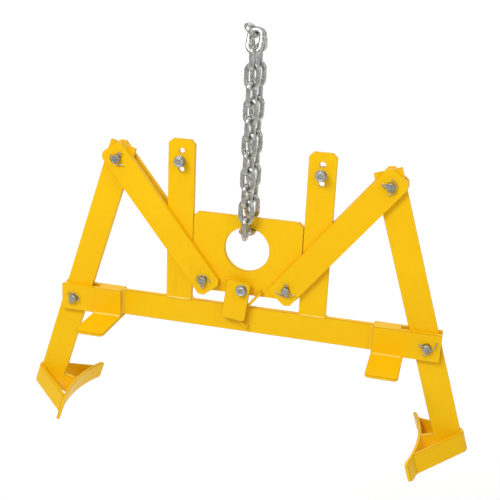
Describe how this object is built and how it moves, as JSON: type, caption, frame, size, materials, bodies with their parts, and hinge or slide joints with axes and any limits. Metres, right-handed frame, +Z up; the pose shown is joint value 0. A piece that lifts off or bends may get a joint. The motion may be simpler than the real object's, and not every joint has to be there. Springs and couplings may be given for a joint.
{
  "type": "drum lifting clamp",
  "caption": "Self-closing lifting clamp: flat-bar frame, sliding lifting plate, link pairs that swing curved jaws shut, latch and chain loop.",
  "frame": {"origin": "on the load line at the height of the top chain link, where the hoist hook carries the clamp", "axes": "+X along the crossbar, +Y to the back through the plates, +Z up along the chain"},
  "size_m": [0.8678, 0.212, 0.7667],
  "materials": {
    "yellow_paint": "semi-gloss powder coat",
    "zinc_plate": "zinc plated",
    "chain_steel": "bright zinc plated"
  },
  "bodies": {
    "chain": {"chain_top_link": "chain_steel", "chain_front_strand": "chain_steel", "chain_rear_strand": "chain_steel", "chain_bottom_link": "chain_steel"},
    "plate": {"lifting_plate": "yellow_paint", "plate_pin_left": "zinc_plate", "plate_split_pin_left": "zinc_plate", "plate_pin_right": "zinc_plate", "plate_split_pin_right": "zinc_plate", "latch_bolt": "zinc_plate", "latch_bush": "zinc_plate", "latch_washer": "zinc_plate", "latch_nut": "zinc_plate"},
    "latch": {"latch_leaf": "yellow_paint", "latch_lug": "zinc_plate"},
    "frame": {"crossbar": "yellow_paint", "latch_keeper": "yellow_paint", "post_left": "yellow_paint", "bracket_front_left": "yellow_paint", "bracket_rear_left": "yellow_paint", "foot_plate_left": "yellow_paint", "stop_bolt_left": "zinc_plate", "stop_bushes_left": "zinc_plate", "stop_washers_left": "zinc_plate", "stop_nut_left": "zinc_plate", "pivot_pin_left": "zinc_plate", "pivot_split_pin_left": "zinc_plate", "post_right": "yellow_paint", "bracket_front_right": "yellow_paint", "bracket_rear_right": "yellow_paint", "foot_plate_right": "yellow_paint", "stop_bolt_right": "zinc_plate", "stop_bushes_right": "zinc_plate", "stop_washers_right": "zinc_plate", "stop_nut_right": "zinc_plate", "pivot_pin_right": "zinc_plate", "pivot_split_pin_right": "zinc_plate"},
    "links_left": {"link_front_left": "yellow_paint", "link_rear_left": "yellow_paint", "link_pin_left": "zinc_plate", "link_split_pin_left": "zinc_plate"},
    "jaw_arm_left": {"arm_left": "yellow_paint", "jaw_rib_left": "yellow_paint", "jaw_plate_left": "yellow_paint", "gusset_front_left": "yellow_paint", "gusset_rear_left": "yellow_paint"},
    "links_right": {"link_front_right": "yellow_paint", "link_rear_right": "yellow_paint", "link_pin_right": "zinc_plate", "link_split_pin_right": "zinc_plate"},
    "jaw_arm_right": {"arm_right": "yellow_paint", "jaw_rib_right": "yellow_paint", "jaw_plate_right": "yellow_paint", "gusset_front_right": "yellow_paint", "gusset_rear_right": "yellow_paint"}
  },
  "joints": [
    {"name": "plate_swing", "type": "hinge", "parent": "chain", "child": "plate", "pos_m": [0, 0, -0.39042], "axis": [0, 1, 0], "range_deg": [-12, 12]},
    {"name": "lifting_travel", "type": "slide", "parent": "plate", "child": "frame", "axis": [0, 0, -1], "range_m": [0, 0.176]},
    {"name": "latch_swing", "type": "hinge", "parent": "plate", "child": "latch", "pos_m": [-0.0028, 0, -0.46422], "axis": [0, 1, 0], "range_deg": [0, 30]},
    {"name": "jaw_arm_left", "type": "hinge", "parent": "frame", "child": "jaw_arm_left", "pos_m": [-0.34, 0, -0.52842], "axis": [0, -1, 0], "range_deg": [0, 20.79]},
    {"name": "links_left", "type": "hinge", "parent": "plate", "child": "links_left", "pos_m": [-0.079, 0, -0.45592], "axis": [0, -1, 0], "range_deg": [0, 40.61]},
    {"name": "jaw_arm_right", "type": "hinge", "parent": "frame", "child": "jaw_arm_right", "pos_m": [0.34, 0, -0.52842], "axis": [0, 1, 0], "range_deg": [0, 20.79]},
    {"name": "links_right", "type": "hinge", "parent": "plate", "child": "links_right", "pos_m": [0.079, 0, -0.45592], "axis": [0, 1, 0], "range_deg": [0, 40.61]}
  ],
  "couplings": [
    {"joint": "jaw_arm_left", "follows": "lifting_travel", "rad_per_m": 2.0595},
    {"joint": "links_left", "follows": "lifting_travel", "rad_per_m": 4.0247},
    {"joint": "jaw_arm_right", "follows": "lifting_travel", "rad_per_m": 2.0595},
    {"joint": "links_right", "follows": "lifting_travel", "rad_per_m": 4.0247}
  ]
}
